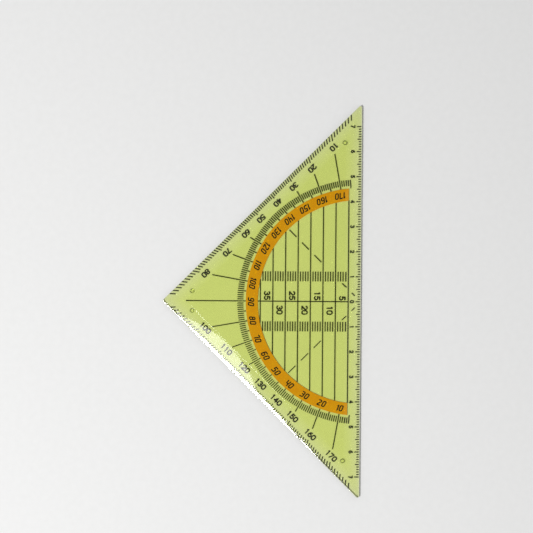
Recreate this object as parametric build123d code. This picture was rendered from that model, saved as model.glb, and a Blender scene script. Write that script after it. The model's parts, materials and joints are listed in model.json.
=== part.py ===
from build123d import *
import os
from math import asin, atan2, cos, degrees, hypot, radians, sin, sqrt

# A drafting triangle: one clear moulded plate with its scales printed on the underside.
# Millimetres. X runs along the ruling edge, Y from that edge to the right-angled tip, Z up.
# The origin is the zero mark: the middle of the ruling edge, on the paper that the nubs stand on.

# Plate
HYPOTENUSE = 158.0  # the ruling edge, measured to where the short edges would meet it
PLATE_THICKNESS = 2.0
EDGE_THICKNESS = 1.0  # what the bevels leave at the outer edges
RIM_WIDTH = 1.5  # the outermost strip of each bevel, which falls away faster
RIM_RISE = 0.3  # what that strip climbs from the outer edge inwards
RULING_BEVEL = 6.2  # width of the bevel along the ruling edge, with its rim
SHORT_BEVEL = 6.8  # width of the bevels along the short edges
TIP_RADIUS = 0.6
EDGE_BREAK = 0.12  # rounding of the underside's outer edges
RIDGE_RADIUS = 4.0  # rounding between the flat top and the bevels

# Nubs, which keep wet ink from creeping under the plate
NUB_HEIGHT = 0.4
NUB_BASE_DIAMETER = 1.9
NUB_TIP_DIAMETER = 1.0
ACUTE_NUB_FROM_SHORT_EDGE = 6.3
ACUTE_NUB_FROM_RULING_EDGE = 6.6
APEX_NUB_FROM_SHORT_EDGE = 5.7
APEX_NUB_SPACING = 7.7

# Ink
BLACK_INK = 0.02  # thickness of the film
ORANGE_INK = 0.02
LINE_WIDTH = 0.34
PRINT_MARGIN = 0.05  # bare strip between the rounding of an outer edge and its ticks

# Ruler, counted both ways from the zero mark
RULER_STEP = 1.0
RULER_END_MARGIN = 8.5  # least distance from the last tick to the tip
RULER_TICK = 1.2  # where each kind of tick ends, from the ruling edge
RULER_FIVE_TICK = 1.7
RULER_TEN_TICK = 2.0

# Protractor
PROTRACTOR_INSET = 0.25  # how far inside the ruling edge its centre is printed
RING_FROM_SHORT_EDGE = 6.8
DEGREE_TICK = 2.4
FIVE_DEGREE_TICK = 3.35
FIRST_DEGREE = 5
POINTER_FROM_SHORT_EDGE = 6.7
SHORTEST_POINTER = 0.4

# Orange band under the degree numerals
BAND_GAP = 0.05  # from the longer protractor ticks
BAND_WIDTH = 4.8

# Degree ticks along the short edges
LEG_TICK = 1.9  # where each kind of tick ends, from the short edge
LEG_TEN_TICK = 2.4
LEG_FIRST_DEGREE = 3
LEG_LAST_DEGREE = 88

# Lines parallel to the ruling edge, with their millimetre rows and dashed diagonals
PARALLEL_STEP = 5.0
ROW_STEP = 1.0
ROW_OFFSET = 10.0
ROW_TICK = 3.9
DASH_LENGTH = 2.85  # measured along X or Y
DASH_GAP = 0.7
SHORTEST_DASH = 1.2

# Sizes that follow from the ones above
HALF = HYPOTENUSE / 2
UNDERSIDE = NUB_HEIGHT
TOP = UNDERSIDE + PLATE_THICKNESS
EDGE_TOP = UNDERSIDE + EDGE_THICKNESS
BLACK_FILM = UNDERSIDE - BLACK_INK
TICK_START = EDGE_BREAK + PRINT_MARGIN
ORANGE_FILM = BLACK_FILM - ORANGE_INK
CENTRE_TO_SHORT_EDGE = (HALF - PROTRACTOR_INSET) / sqrt(2)
RING_RADIUS = CENTRE_TO_SHORT_EDGE - RING_FROM_SHORT_EDGE
BAND_OUTER = RING_RADIUS - FIVE_DEGREE_TICK - BAND_GAP
BAND_INNER = BAND_OUTER - BAND_WIDTH
INNER_HEIGHT = PROTRACTOR_INSET + BAND_INNER  # from the ruling edge to the top of the band's inner edge
PARALLELS = [PARALLEL_STEP * i for i in range(1, int(INNER_HEIGHT / PARALLEL_STEP) + 1)]

ON_FILM = (Align.CENTER, Align.CENTER, Align.MIN)


def polar(radius, angle):
    """The point of the plan at this distance and angle from the protractor's centre."""
    return radius * cos(radians(angle)), PROTRACTOR_INSET + radius * sin(radians(angle))


def radius_inside_short_edge(angle, inset):
    """How far from the protractor's centre a ray at this angle comes within inset of its short edge."""
    reach = HALF - PROTRACTOR_INSET - inset * sqrt(2)
    return reach / (abs(cos(radians(angle))) + sin(radians(angle)))


def line(start, end):
    """A printed line between two points of the plan: a bar of black ink on the underside."""
    run = end[0] - start[0], end[1] - start[1]
    middle = (start[0] + end[0]) / 2, (start[1] + end[1]) / 2
    bar = Box(hypot(*run), LINE_WIDTH, BLACK_INK, align=ON_FILM)
    return Pos(*middle, BLACK_FILM) * Rot(0, 0, degrees(atan2(run[1], run[0]))) * bar


def bevelled(body):
    """The body cut along each of its three edges by the sloping planes of the bevel and its rim."""
    diagonal = 1 / sqrt(2)
    edges = [
        ((0, 0), (0, -1), RULING_BEVEL),
        ((HALF / 2, HALF / 2), (diagonal, diagonal), SHORT_BEVEL),
        ((-HALF / 2, HALF / 2), (-diagonal, diagonal), SHORT_BEVEL),
    ]
    for point, outward, width in edges:
        profile = [(0, EDGE_TOP), (RIM_WIDTH, EDGE_TOP + RIM_RISE), (width, TOP)]
        for (near, low), (far, high) in zip(profile, profile[1:]):
            start = point[0] - outward[0] * near, point[1] - outward[1] * near, low
            slope = Vector(outward[0] * (high - low), outward[1] * (high - low), far - near)
            body = split(body, Plane(start, z_dir=slope), keep=Keep.BOTTOM)
    return body


def nub_places():
    """The plan points of the four nubs, two near the acute tips and two near the right-angled tip."""
    acute = HALF - ACUTE_NUB_FROM_SHORT_EDGE * sqrt(2) - ACUTE_NUB_FROM_RULING_EDGE
    apex = APEX_NUB_SPACING / 2
    right = [
        (acute, ACUTE_NUB_FROM_RULING_EDGE),
        (apex, HALF - APEX_NUB_FROM_SHORT_EDGE * sqrt(2) - apex),
    ]
    return right + [(-x, y) for x, y in right]


def make_plate():
    outline = make_face(Polyline((-HALF, 0), (HALF, 0), (0, HALF), close=True))
    outline = fillet(outline.vertices(), TIP_RADIUS)
    body = bevelled(extrude(Pos(0, 0, UNDERSIDE) * outline, PLATE_THICKNESS))
    body = fillet(body.faces().sort_by(Axis.Z)[-1].edges(), RIDGE_RADIUS)
    body = fillet(body.faces().sort_by(Axis.Z)[0].edges(), EDGE_BREAK)
    nub = Cone(NUB_TIP_DIAMETER / 2, NUB_BASE_DIAMETER / 2, NUB_HEIGHT, align=ON_FILM)
    for x, y in nub_places():
        body += Pos(x, y, 0) * nub
    return body


def make_degree_band():
    """A half ring of orange ink, laid over the black print and cut off at the first parallel line."""
    arcs = []
    for radius in (BAND_OUTER, BAND_INNER):
        first = degrees(asin((PARALLELS[0] - PROTRACTOR_INSET) / radius))
        arcs.append(CenterArc((0, PROTRACTOR_INSET), radius, first, 180 - 2 * first))
    ends = [Line(arcs[0] @ t, arcs[1] @ t) for t in (0, 1)]
    return extrude(Pos(0, 0, ORANGE_FILM) * make_face([*arcs, *ends]), ORANGE_INK)


def make_ruler_ticks():
    tens = int((HALF - RULER_END_MARGIN) / (10 * RULER_STEP))
    ticks = []
    for i in range(-10 * tens, 10 * tens + 1):
        x = i * RULER_STEP
        reach = RULER_TEN_TICK if i % 10 == 0 else RULER_FIVE_TICK if i % 5 == 0 else RULER_TICK
        ticks.append(line((x, TICK_START), (x, reach)))
    return ticks


def make_protractor_ticks():
    ticks = []
    for angle in range(FIRST_DEGREE, 181 - FIRST_DEGREE):
        length = DEGREE_TICK if angle % 5 else FIVE_DEGREE_TICK
        ticks.append(line(polar(RING_RADIUS - length, angle), polar(RING_RADIUS, angle)))
    return ticks


def make_angle_pointers():
    """A line from each tenth degree of the protractor towards its numeral at the short edge."""
    pointers = []
    for angle in range(10, 180, 10):
        end = radius_inside_short_edge(angle, POINTER_FROM_SHORT_EDGE)
        if end - RING_RADIUS >= SHORTEST_POINTER:
            pointers.append(line(polar(RING_RADIUS, angle), polar(end, angle)))
    return pointers


def make_leg_ticks(right):
    """The degree ticks along one short edge, each on its ray from the protractor's centre."""
    ticks = []
    for angle in range(LEG_FIRST_DEGREE, LEG_LAST_DEGREE + 1):
        ray = angle if right else 180 - angle
        reach = LEG_TICK if angle % 10 else LEG_TEN_TICK
        ends = [radius_inside_short_edge(ray, inset) for inset in (reach, TICK_START)]
        ticks.append(line(polar(ends[0], ray), polar(ends[1], ray)))
    return ticks


def make_parallel_lines():
    """Chords of the band's inner circle, a step apart."""
    chords = [(sqrt(BAND_INNER**2 - (y - PROTRACTOR_INSET) ** 2), y) for y in PARALLELS]
    return [line((-x, y), (x, y)) for x, y in chords]


def make_centre_line(parallels):
    """The line square to the ruling edge, between the first parallel line and the band."""
    whole = line((0, PARALLELS[0]), (0, INNER_HEIGHT))
    return (whole - parallels).solids()


def make_millimetre_rows():
    """Two ladders of ticks between the parallel lines, one each side of the centre line."""
    per_cell = round(PARALLEL_STEP / ROW_STEP)
    ticks = []
    for low in PARALLELS[:-1]:
        for i in range(1, per_cell):
            y = low + i * PARALLEL_STEP / per_cell
            for x in (-ROW_OFFSET, ROW_OFFSET):
                ticks.append(line((x - ROW_TICK / 2, y), (x + ROW_TICK / 2, y)))
    return ticks


def make_diagonal_dashes():
    """The 45 degree lines through the zero mark, one dash to a cell, kept clear of the other marks."""
    row_near = ROW_OFFSET - ROW_TICK / 2 - DASH_GAP
    row_far = ROW_OFFSET + ROW_TICK / 2 + DASH_GAP
    last = BAND_INNER / sqrt(2)
    dashes = []
    for low in [0, *PARALLELS]:
        start = max(low, RULER_TEN_TICK - DASH_GAP / 2) + DASH_GAP
        end = min(low + DASH_GAP + DASH_LENGTH, last)
        if start < row_near:
            end = min(end, row_near)
        else:
            start = max(start, row_far) if start < row_far else start
        if end - start >= SHORTEST_DASH:
            dashes += [line((side * start, start), (side * end, end)) for side in (-1, 1)]
    return dashes


def write(node, solids):
    shape = solids if isinstance(solids, Part) else Compound(solids)
    export_step(shape, f"parts/{node}.step")


os.makedirs("parts", exist_ok=True)
parallel_lines = make_parallel_lines()
write("plate", make_plate())
write("degree_band", make_degree_band())
write("ruler_ticks", make_ruler_ticks())
write("protractor_ticks", make_protractor_ticks())
write("angle_pointers", make_angle_pointers())
write("right_leg_ticks", make_leg_ticks(right=True))
write("left_leg_ticks", make_leg_ticks(right=False))
write("parallel_lines", parallel_lines)
write("centre_line", make_centre_line(parallel_lines))
write("millimetre_rows", make_millimetre_rows())
write("diagonal_dashes", make_diagonal_dashes())
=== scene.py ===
import json
from math import cos, pi, radians, sin, sqrt

import bpy
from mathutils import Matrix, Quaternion, Vector
from mathutils.geometry import delaunay_2d_cdt


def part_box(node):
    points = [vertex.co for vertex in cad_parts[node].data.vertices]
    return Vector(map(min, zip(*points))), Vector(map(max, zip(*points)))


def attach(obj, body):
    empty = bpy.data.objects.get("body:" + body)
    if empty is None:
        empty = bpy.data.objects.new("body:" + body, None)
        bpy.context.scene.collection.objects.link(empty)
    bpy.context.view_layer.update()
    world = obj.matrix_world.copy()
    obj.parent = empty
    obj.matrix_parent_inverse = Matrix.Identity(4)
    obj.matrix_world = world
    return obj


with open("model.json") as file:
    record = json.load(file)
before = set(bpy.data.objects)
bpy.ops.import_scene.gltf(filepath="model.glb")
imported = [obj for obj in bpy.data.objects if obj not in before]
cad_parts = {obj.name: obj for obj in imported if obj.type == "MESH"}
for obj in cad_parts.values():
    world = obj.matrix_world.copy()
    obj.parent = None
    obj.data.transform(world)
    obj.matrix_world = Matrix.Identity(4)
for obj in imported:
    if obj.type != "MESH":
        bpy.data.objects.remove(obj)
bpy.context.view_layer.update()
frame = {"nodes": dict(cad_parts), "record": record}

# A clear drafting triangle, lying on a pale table and seen from straight above.
# Metres, in the frame of the solids: X along the ruling edge, Y to the right-angled tip, Z up.
MM = 0.001

# Places taken from the solids
MOUNTS = {mount["name"]: Vector(mount["pos_m"]) for mount in frame["record"]["mounts"]}
HALF = MOUNTS["right_short_edge"].x + MOUNTS["right_short_edge"].y  # from the zero mark to an acute tip
FILM_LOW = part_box("ruler_ticks")[0].z
FILM_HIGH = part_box("ruler_ticks")[1].z
PROTRACTOR_INSET = 0.25 * MM  # the protractor's centre, inside the ruling edge
BAND_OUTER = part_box("degree_band")[1].y - PROTRACTOR_INSET

# Camera, straight above the middle of the picture
IMAGE_WIDTH = 213.03 * MM  # what the frame's width covers at the print
IMAGE_CENTRE = Vector((13.87 * MM, 37.55 * MM))
IMAGE_TURN = radians(0.45)
LENS = 200
SENSOR = 36

# Numerals: the full height, the stroke width, the gap between the stroke lines of neighbouring digits,
# the stretch in width, and the slant as a sideways step per height
RULER_STYLE = {"height": 1.7 * MM, "stroke": 0.36 * MM, "gap": 0.5 * MM, "stretch": 1.06, "slant": 0}
INNER_STYLE = {"height": 2.57 * MM, "stroke": 0.47 * MM, "gap": 0.77 * MM, "stretch": 1.0, "slant": 0.196}
OUTER_STYLE = {"height": 2.32 * MM, "stroke": 0.45 * MM, "gap": 0.5 * MM, "stretch": 1.16, "slant": 0}
DISTANCE_STYLE = {"height": 2.5 * MM, "stroke": 0.43 * MM, "gap": 0.47 * MM, "stretch": 1.1, "slant": 0}
SQUARE_WIDTH = 0.5  # of the squarish digits, in heights
SQUARE_CORNER = 0.2
ROUND_STEP = 15  # degrees between the points of a curve
SHARPEST_MITRE = 50  # a stroke that turns by more degrees than this gets a round corner
MERGE = 1e-5  # points of a glyph closer than this are one

RULER_STEP = 10 * MM
RULER_LAST = 7
RULER_NUMERAL_Y = 3.51 * MM
INNER_RADIUS = BAND_OUTER - 2.48 * MM
INNER_CENTRE = Vector((-0.06 * MM, PROTRACTOR_INSET + 0.36 * MM))  # their ring is printed off the ticks
INNER_SHIFT = 0.25 * MM  # along that ring, past the tick
OUTER_INSET = 4.5 * MM
# Along the line, where one stands off its ray
OUTER_SHIFTS = {10: -0.19 * MM, 30: 0.2 * MM, 50: 0.27 * MM, 60: -0.45 * MM}
DISTANCE_STEP = 5 * MM
DISTANCE_LAST = 35
DISTANCE_ABOVE_LINE = 2.28 * MM
DISTANCE_RIGHT_END = 0.65 * MM
DISTANCE_LEFT_CENTRE = 3.5 * MM

# Light: each lamp's place, shape, length and height, turn about its own axis, and power in watts
LAMPS = {
    "key": (Vector((-0.31, 0.55, 1.0)), "ELLIPSE", 0.25, 0.25, 0, 8.9),
    "bevel_glare": (Vector((-0.3045, 0.3241, 1.0291)), "ELLIPSE", 0.17, 0.17, 0, 0.43),
    "rim_glare": (Vector((-0.383, 0.3572, 0.9962)), "ELLIPSE", 0.328, 0.03, radians(-5.6), 0.68),
    "ridge_glare": (Vector((-0.2112, 0.2125, 1.0728)), "RECTANGLE", 0.11, 0.05, 0, 0.12),
}
WORLD_STRENGTH = 0.30
OVERHEAD_SHARE = 0.3  # of that strength, straight above
OVERHEAD_ANGLES = (14, 8)  # degrees from straight above, where it starts to dim and where it is dimmest
FLOOR_SIZE = 6.0
FLOOR_DROP = 0.005 * MM  # keeps the floor just clear of the nubs

# Clear plastic
PLASTIC_IOR = 1.57
TINT = (0.89, 0.94, 0.28, 1)
TINT_DENSITY = 400  # per metre
WALL_BELOW = 0.5  # a face whose normal rises less than this is a wall
LEVEL_ABOVE = 0.9  # and one whose normal rises more than this is level
MIRROR_SHARE = 0.5  # inside, a face that mirrors more of the light than this starts to trap it


def arc(centre, radii, start, end):
    """Points along part of an ellipse, between two angles in degrees."""
    count = max(2, round(abs(end - start) / ROUND_STEP))
    angles = [radians(start + (end - start) * i / count) for i in range(count + 1)]
    return [(centre[0] + radii[0] * cos(a), centre[1] + radii[1] * sin(a)) for a in angles]


def rounded_box(width, height, radius):
    """A closed path round a box with rounded corners."""
    corners = [
        (width - radius, height - radius, 0),
        (radius, height - radius, 90),
        (radius, radius, 180),
        (width - radius, radius, 270),
    ]
    path = [p for x, y, a in corners for p in arc((x, y), (radius, radius), a, a + 90)]
    return path + path[:1]


def plain_digit(digit):
    """The pen strokes of a plain digit one unit high, and the width that every digit takes up."""
    six = [arc((0.5, 0.3), (0.5, 0.7), 95, 180), arc((0.3, 0.3), (0.3, 0.3), 0, 360)]
    strokes = {
        "0": [rounded_box(0.58, 1, 0.28)],
        "1": [[(0.18, 0.87), (0.33, 1), (0.33, 0)]],
        "2": [[*arc((0.29, 0.7), (0.29, 0.3), 165, -35), (0, 0), (0.58, 0)]],
        "3": [arc((0.27, 0.76), (0.27, 0.24), 150, -90), arc((0.27, 0.26), (0.31, 0.26), 90, -150)],
        "4": [[(0.45, 0), (0.45, 1), (0, 0.28), (0.62, 0.28)]],
        "5": [[(0.54, 1), (0.1, 1), (0.06, 0.53)], arc((0.27, 0.31), (0.31, 0.31), 135, -150)],
        "6": six,
        "7": [[(0, 1), (0.58, 1), (0.2, 0)]],
        "8": [arc((0.3, 0.76), (0.25, 0.24), 0, 360), arc((0.3, 0.26), (0.3, 0.26), 0, 360)],
        "9": [[(0.6 - x, 1 - y) for x, y in stroke] for stroke in six],
    }
    return strokes[digit], 0.6


def square_digit(digit):
    """The pen strokes of a squarish digit one unit high, as from a lettering guide, and its own width."""
    wide = SQUARE_WIDTH
    corner = SQUARE_CORNER
    near = wide - corner
    round_corner = (corner, corner)
    top_right = arc((near, 1 - corner), round_corner, 90, 0)
    foot_right = [*arc((near, corner), round_corner, 0, -90), (0, 0)]
    belly = arc((near, 0.6 - corner), round_corner, 90, 0)
    upper_loop = [(x + 0.03, y + 0.54) for x, y in rounded_box(wide - 0.06, 0.46, corner)]
    six = [
        [(wide, 1), *arc((corner, 1 - corner), round_corner, 90, 180), (0, 0.28)],
        rounded_box(wide, 0.56, corner),
    ]
    strokes = {
        "0": [rounded_box(wide, 1, corner)],
        "1": [[(0, 0.84), (0.14, 1), (0.14, 0)]],
        "2": [[(0, 1), *arc((near, 1 - corner), round_corner, 90, -35), (0, 0.12), (0, 0), (wide, 0)]],
        "3": [
            [(0, 1), *top_right, *arc((near, 0.69), (corner, 0.16), 0, -90), (0.15, 0.53)],
            [*arc((near, 0.53 - corner), round_corner, 90, 0), *foot_right],
        ],
        "4": [[(0, 1), (0.1, 0.42), (wide, 0.42)], [(wide, 1), (wide, 0)]],
        "5": [[(wide, 1), (0.05, 1), (0.05, 0.6), *belly, *foot_right]],
        "6": six,
        "7": [[(0, 0.9), (0, 1), (0.4, 1), (0.4, 0)]],
        "8": [rounded_box(wide, 0.54, corner), upper_loop],
        "9": [[(wide - x, 1 - y) for x, y in stroke] for stroke in six],
    }
    return strokes[digit], {"1": 0.14, "7": 0.4}.get(digit, wide)


def smooth_runs(points):
    """A stroke cut where it turns sharply, as lists of points."""
    runs = [[points[0]]]
    for before, point, after in zip(points, points[1:], points[2:]):
        runs[-1].append(point)
        if (point - before).angle(after - point) > radians(SHARPEST_MITRE):
            runs.append([point])
    runs[-1].append(points[-1])
    return runs


def side_step(points, i, closed):
    """From a point of a run to its left side, one unit wide, mitred between the neighbouring directions."""
    last = len(points) - 1
    before = points[i] - points[i - 1] if i else points[-1] - points[-2] if closed else None
    after = points[i + 1] - points[i] if i < last else points[1] - points[0] if closed else None
    ways = [way.normalized() for way in (before, after) if way is not None]
    normal = sum((Vector((-way.y, way.x)) for way in ways), Vector((0, 0))).normalized()
    return normal / normal.dot(Vector((-ways[0].y, ways[0].x)))


def run_polygons(points, width):
    """Polygons that cover one smooth run of a stroke, with round ends unless it closes on itself."""
    closed = (points[0] - points[-1]).length < MERGE
    sides = [side_step(points, i, closed) * width / 2 for i in range(len(points))]
    left = [p + s for p, s in zip(points, sides)]
    right = [p - s for p, s in zip(points, sides)]
    polygons = [[right[i], right[i + 1], left[i + 1], left[i]] for i in range(len(points) - 1)]
    if not closed:
        for point, side in ((points[0], sides[0]), (points[-1], -sides[-1])):
            across = Vector((-side.y, side.x))
            polygons.append([point + side * x + across * y for x, y in arc((0, 0), (1, 1), 0, 180)])
    return polygons


def holds(polygon, point):
    """True if a convex polygon, whose corners run anticlockwise, holds the point."""
    sides = zip(polygon, polygon[1:] + polygon[:1])
    return all((b - a).cross(point - a) >= 0 for a, b in sides)


def joined(polygons):
    """Convex polygons joined into one flat mesh without overlaps: its corners and its triangles."""
    points = [p for polygon in polygons for p in polygon]
    edges = []
    for polygon in polygons:
        first = len(edges)
        edges += [(first + i, first + (i + 1) % len(polygon)) for i in range(len(polygon))]
    corners, _, triangles = delaunay_2d_cdt(points, edges, [], 0, MERGE)[:3]
    kept = []
    for a, b, c in triangles:
        middle = (corners[a] + corners[b] + corners[c]) / 3
        if any(holds(polygon, middle) for polygon in polygons):
            kept.append((a, b, c))
    return corners, kept


def glyph(digit, style):
    """A digit in real sizes: the corners and triangles of its flat mesh, its width and its height."""
    strokes, width = square_digit(digit) if style["slant"] else plain_digit(digit)
    size = style["height"] - style["stroke"]
    polygons = []
    for stroke in strokes:
        points = [Vector((x * style["stretch"] + (y - 0.5) * style["slant"], y)) for x, y in stroke]
        for run in smooth_runs(points):
            polygons += run_polygons(run, style["stroke"] / size)
    corners, triangles = joined(polygons)
    return [p * size for p in corners], triangles, width * style["stretch"] * size, size


def lay_out(text, centre, up, style):
    """The glyphs of a number and their places, centred on a point, with up as a plan direction."""
    along = Vector((up.y, -up.x))
    glyphs = [glyph(digit, style) for digit in text]
    gap = style["gap"]
    length = sum(g[2] for g in glyphs) + gap * (len(glyphs) - 1)
    start = -length / 2
    laid = []
    for corners, triangles, advance, size in glyphs:
        base = centre + along * start - up * size / 2
        laid.append(([base + along * p.x + up * p.y for p in corners], triangles))
        start += advance + gap
    return laid


def film(name, numbers):
    """One piece of ink: each flat glyph given the print's thickness, as closed solids."""
    vertices = []
    faces = []
    for corners, triangles in numbers:
        top = len(vertices)
        low = top + len(corners)
        vertices += [(p.x, p.y, FILM_HIGH) for p in corners]
        vertices += [(p.x, p.y, FILM_LOW) for p in corners]
        edges = set()
        for a, b, c in triangles:
            faces.append((top + a, top + b, top + c))
            faces.append((low + c, low + b, low + a))
            edges |= {(a, b), (b, c), (c, a)}
        rim = [(a, b) for a, b in sorted(edges) if (b, a) not in edges]
        faces += [(top + b, top + a, low + a, low + b) for a, b in rim]
    mesh = bpy.data.meshes.new(name)
    mesh.from_pydata(vertices, [], faces)
    piece = bpy.data.objects.new(name, mesh)
    bpy.context.scene.collection.objects.link(piece)
    piece.data.materials.append(MATERIALS["black_ink"])
    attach(piece, "root")


def direction(angle):
    """A plan direction, in degrees from the ruling edge."""
    return Vector((cos(radians(angle)), sin(radians(angle))))


def make_ruler_numerals():
    """Centimetres, counted both ways from the zero mark."""
    numbers = []
    for centimetre in range(-RULER_LAST, RULER_LAST + 1):
        centre = Vector((centimetre * RULER_STEP, RULER_NUMERAL_Y))
        numbers += lay_out(str(abs(centimetre)), centre, Vector((0, -1)), RULER_STYLE)
    film("ruler_numerals", numbers)


def make_inner_degree_numerals():
    """Degrees on the orange band, counted from the left, with their heads to the zero mark."""
    numbers = []
    for degree in range(10, 180, 10):
        ray = 180 - degree
        centre = INNER_CENTRE + INNER_RADIUS * direction(ray) + INNER_SHIFT * direction(ray + 90)
        numbers += lay_out(str(degree), centre, -direction(ray), INNER_STYLE)
    film("inner_degree_numerals", numbers)


def make_outer_degree_numerals():
    """Degrees along the short edges, counted from the right, with their heads to the inside."""
    numbers = []
    for degree in range(10, 180, 10):
        if degree == 90:
            continue
        ray = direction(degree)
        radius = (HALF - PROTRACTOR_INSET - OUTER_INSET * sqrt(2)) / (abs(ray.x) + ray.y)
        up = direction(-135 if degree < 90 else -45)
        centre = Vector((0, PROTRACTOR_INSET)) + radius * ray
        centre += OUTER_SHIFTS.get(degree, 0) * Vector((up.y, -up.x))
        numbers += lay_out(str(degree), centre, up, OUTER_STYLE)
    film("outer_degree_numerals", numbers)


def make_distance_numerals():
    """Millimetres from the ruling edge, beside the centre line above each parallel line."""
    numbers = []
    for i in range(1, round(DISTANCE_LAST * MM / DISTANCE_STEP) + 1):
        distance = i * DISTANCE_STEP
        text = str(round(distance / MM))
        centre = Vector((-DISTANCE_LEFT_CENTRE, distance + DISTANCE_ABOVE_LINE))
        if i % 2:
            width = sum(glyph(digit, DISTANCE_STYLE)[2] for digit in text)
            width += (len(text) - 1) * DISTANCE_STYLE["gap"]
            centre.x = DISTANCE_RIGHT_END + width / 2
        numbers += lay_out(text, centre, Vector((0, -1)), DISTANCE_STYLE)
    film("distance_numerals", numbers)


class Shader:
    """A material and the few kinds of node that the finishes here are made of."""

    def __init__(self, name):
        self.material = bpy.data.materials.new(name)
        self.material.use_nodes = True
        self.nodes = self.material.node_tree.nodes
        self.surface = self.nodes["Principled BSDF"]
        self.output = self.nodes["Material Output"]
        self.places = self.nodes.new("ShaderNodeTexCoord").outputs["Object"]

    def link(self, source, target):
        """Joins an output to an input."""
        self.material.node_tree.links.new(source, target)

    def noise(self, scale, detail=2.0, stretch=(1, 1, 1)):
        """A grey noise that repeats about scale times a metre."""
        mapping = self.nodes.new("ShaderNodeMapping")
        mapping.inputs["Scale"].default_value = stretch
        texture = self.nodes.new("ShaderNodeTexNoise")
        texture.inputs["Scale"].default_value = scale
        texture.inputs["Detail"].default_value = detail
        self.link(self.places, mapping.inputs["Vector"])
        self.link(mapping.outputs["Vector"], texture.inputs["Vector"])
        return texture.outputs["Fac"]

    def between(self, value, low, high, start=0.3, end=0.7):
        """A value carried from start..end to low..high."""
        node = self.nodes.new("ShaderNodeMapRange")
        self.link(value, node.inputs["Value"])
        for name, number in (("From Min", start), ("From Max", end), ("To Min", low), ("To Max", high)):
            node.inputs[name].default_value = number
        return node.outputs["Result"]

    def colours(self, value, first, second, start=0.3, end=0.7):
        """A colour between two, along a value."""
        ramp = self.nodes.new("ShaderNodeValToRGB")
        ramp.color_ramp.elements[0].position = start
        ramp.color_ramp.elements[1].position = end
        ramp.color_ramp.elements[0].color = (*first, 1)
        ramp.color_ramp.elements[1].color = (*second, 1)
        self.link(value, ramp.inputs["Fac"])
        return ramp.outputs["Color"]

    def bump(self, height, distance):
        """A relief that many metres deep."""
        node = self.nodes.new("ShaderNodeBump")
        node.inputs["Distance"].default_value = distance
        self.link(height, node.inputs["Height"])
        return node.outputs["Normal"]


def clear_plastic():
    """Polished yellow-green plastic, with the faint waves of a moulding and the wear of handling."""
    made = Shader("clear_plastic")
    surface = made.surface
    surface.inputs["Transmission Weight"].default_value = 1.0
    surface.inputs["IOR"].default_value = PLASTIC_IOR
    body = made.noise(35, 3)
    made.link(made.colours(body, (0.93, 0.97, 0.80), (0.97, 0.99, 0.86)), surface.inputs["Base Color"])
    wear = made.noise(90, 3, stretch=(1, 3, 1))
    made.link(made.between(wear, 0.01, 0.02), surface.inputs["Roughness"])
    made.link(made.bump(made.noise(50, 1), 0.008 * MM), surface.inputs["Normal"])

    tint = made.nodes.new("ShaderNodeVolumeAbsorption")
    tint.inputs["Color"].default_value = TINT
    tint.inputs["Density"].default_value = TINT_DENSITY
    made.link(tint.outputs["Volume"], made.output.inputs["Volume"])

    # Light that reaches the table passes the level faces unbent, but hardly the upright walls,
    # which mirror it inwards
    shape = made.nodes.new("ShaderNodeNewGeometry")
    facing = made.nodes.new("ShaderNodeSeparateXYZ")
    made.link(shape.outputs["True Normal"], facing.inputs["Vector"])
    level = made.nodes.new("ShaderNodeMath")
    level.operation = "ABSOLUTE"
    made.link(facing.outputs["Z"], level.inputs[0])
    rays = made.nodes.new("ShaderNodeLightPath")
    unbent = made.nodes.new("ShaderNodeBsdfTransparent")
    walls = (0.05, 0.05, 0.03)
    faces = (0.98, 0.98, 0.98)
    passed = made.colours(level.outputs["Value"], walls, faces, WALL_BELOW, LEVEL_ABOVE)
    made.link(passed, unbent.inputs["Color"])
    shown = surface.outputs["BSDF"]
    for kind in ("Is Shadow Ray", "Is Diffuse Ray"):
        either = made.nodes.new("ShaderNodeMixShader")
        made.link(rays.outputs[kind], either.inputs["Fac"])
        made.link(shown, either.inputs[1])
        made.link(unbent.outputs["BSDF"], either.inputs[2])
        shown = either.outputs["Shader"]

    # Light inside that the underside would trap comes out there, so that low views stay clear
    mirrored = made.nodes.new("ShaderNodeFresnel")
    mirrored.inputs["IOR"].default_value = PLASTIC_IOR
    trapped = made.between(mirrored.outputs["Fac"], 0, 1, MIRROR_SHARE, 1)
    underside = made.between(facing.outputs["Z"], 0, 1, WALL_BELOW, LEVEL_ABOVE)
    for condition in (shape.outputs["Backfacing"], underside):
        both = made.nodes.new("ShaderNodeMath")
        both.operation = "MULTIPLY"
        made.link(trapped, both.inputs[0])
        made.link(condition, both.inputs[1])
        trapped = both.outputs["Value"]
    leak = made.nodes.new("ShaderNodeMixShader")
    made.link(trapped, leak.inputs["Fac"])
    made.link(shown, leak.inputs[1])
    made.link(unbent.outputs["BSDF"], leak.inputs[2])
    made.link(leak.outputs["Shader"], made.output.inputs["Surface"])
    return made.material


def black_ink():
    """Opaque screen-printing ink, slightly uneven in depth."""
    made = Shader("black_ink")
    made.surface.inputs["Specular IOR Level"].default_value = 0.05
    depth = made.noise(900, 3)
    tone = made.colours(depth, (0.010, 0.010, 0.012), (0.028, 0.027, 0.026))
    made.link(tone, made.surface.inputs["Base Color"])
    made.link(made.between(depth, 0.5, 0.7), made.surface.inputs["Roughness"])
    made.link(made.bump(made.noise(6000, 2), 0.002 * MM), made.surface.inputs["Normal"])
    return made.material


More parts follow.
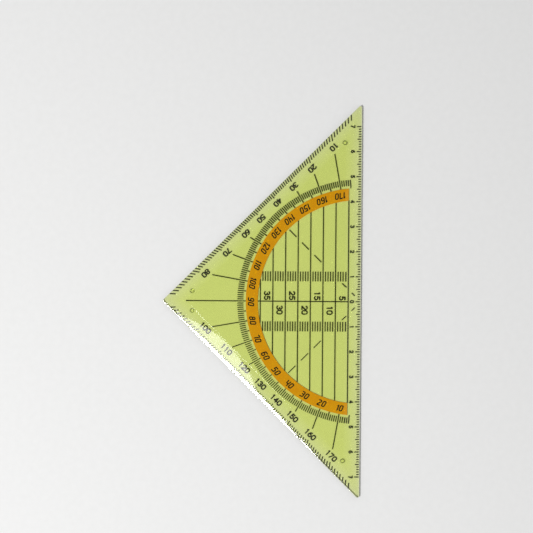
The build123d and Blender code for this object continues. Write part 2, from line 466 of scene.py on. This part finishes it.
def orange_ink():
    """Half-clear orange ink: part of the light passes and is tinted."""
    made = Shader("orange_ink")
    made.surface.inputs["Specular IOR Level"].default_value = 0.05
    depth = made.noise(300, 3)
    tone = made.colours(depth, (0.97, 0.37, 0.002), (1.0, 0.42, 0.004))
    made.link(tone, made.surface.inputs["Base Color"])
    made.link(made.between(depth, 0.45, 0.6), made.surface.inputs["Roughness"])
    made.link(made.bump(made.noise(5000, 2), 0.002 * MM), made.surface.inputs["Normal"])
    passed = made.nodes.new("ShaderNodeBsdfTransparent")
    passed.inputs["Color"].default_value = (0.98, 0.60, 0.10, 1)
    either = made.nodes.new("ShaderNodeMixShader")
    either.inputs["Fac"].default_value = 0.92
    made.link(passed.outputs["BSDF"], either.inputs[1])
    made.link(made.surface.outputs["BSDF"], either.inputs[2])
    made.link(either.outputs["Shader"], made.output.inputs["Surface"])
    return made.material


def floor_finish():
    """Smooth pale board."""
    made = Shader("floor")
    grain = made.noise(400, 4)
    tone = made.colours(grain, (0.85, 0.85, 0.845), (0.87, 0.87, 0.865))
    made.link(tone, made.surface.inputs["Base Color"])
    made.surface.inputs["Roughness"].default_value = 0.9
    made.surface.inputs["Specular IOR Level"].default_value = 0.2
    return made.material


def make_floor():
    """A wide flat table, just under the nubs."""
    half = FLOOR_SIZE / 2
    mesh = bpy.data.meshes.new("floor")
    corners = [(-half, -half), (half, -half), (half, half), (-half, half)]
    mesh.from_pydata([(x, y, -FLOOR_DROP) for x, y in corners], [], [(0, 1, 2, 3)])
    floor = bpy.data.objects.new("floor", mesh)
    bpy.context.scene.collection.objects.link(floor)
    floor.data.materials.append(floor_finish())


def make_world():
    """Even soft light from all round, dimmer straight above where the camera hangs."""
    world = bpy.data.worlds.new("studio")
    world.use_nodes = True
    nodes = world.node_tree.nodes
    link = world.node_tree.links.new
    background = nodes["Background"]
    background.inputs["Strength"].default_value = WORLD_STRENGTH
    way = nodes.new("ShaderNodeSeparateXYZ")
    link(nodes.new("ShaderNodeTexCoord").outputs["Generated"], way.inputs["Vector"])
    ramp = nodes.new("ShaderNodeValToRGB")
    ramp.color_ramp.elements[0].position = cos(radians(OVERHEAD_ANGLES[0]))
    ramp.color_ramp.elements[1].position = cos(radians(OVERHEAD_ANGLES[1]))
    ramp.color_ramp.elements[0].color = (1, 1, 1, 1)
    ramp.color_ramp.elements[1].color = (OVERHEAD_SHARE, OVERHEAD_SHARE, OVERHEAD_SHARE, 1)
    link(way.outputs["Z"], ramp.inputs["Fac"])
    link(ramp.outputs["Color"], background.inputs["Color"])
    bpy.context.scene.world = world


def make_lamp(name, place, shape, length, height, turn, power):
    """A soft box that looks at the middle of the picture."""
    data = bpy.data.lights.new(name, "AREA")
    data.shape = shape
    data.size = length
    data.size_y = height
    data.energy = power
    lamp = bpy.data.objects.new(name, data)
    bpy.context.scene.collection.objects.link(lamp)
    lamp.location = place
    aim = (place - IMAGE_CENTRE.to_3d()).to_track_quat("Z", "Y")
    lamp.rotation_euler = (aim @ Quaternion((0, 0, 1), turn)).to_euler()


def make_camera():
    """Straight above the middle of the picture, with the ruling edge to the right."""
    data = bpy.data.cameras.new("camera")
    data.lens = LENS
    data.sensor_width = SENSOR
    camera = bpy.data.objects.new("camera", data)
    bpy.context.scene.collection.objects.link(camera)
    camera.location = (*IMAGE_CENTRE, FILM_HIGH + IMAGE_WIDTH * LENS / SENSOR)
    camera.rotation_euler = (0, 0, IMAGE_TURN - pi / 2)
    bpy.context.scene.camera = camera


MATERIALS = {"clear_plastic": clear_plastic(), "orange_ink": orange_ink(), "black_ink": black_ink()}
for subpart in frame["record"]["subparts"]:
    materials = frame["nodes"][subpart["node"]].data.materials
    materials.clear()
    materials.append(MATERIALS[subpart["material_slot"]])

make_ruler_numerals()
make_inner_degree_numerals()
make_outer_degree_numerals()
make_distance_numerals()
make_floor()
make_world()
for name, lamp in LAMPS.items():
    make_lamp(name, *lamp)
make_camera()
bpy.context.scene.view_settings.view_transform = "Standard"
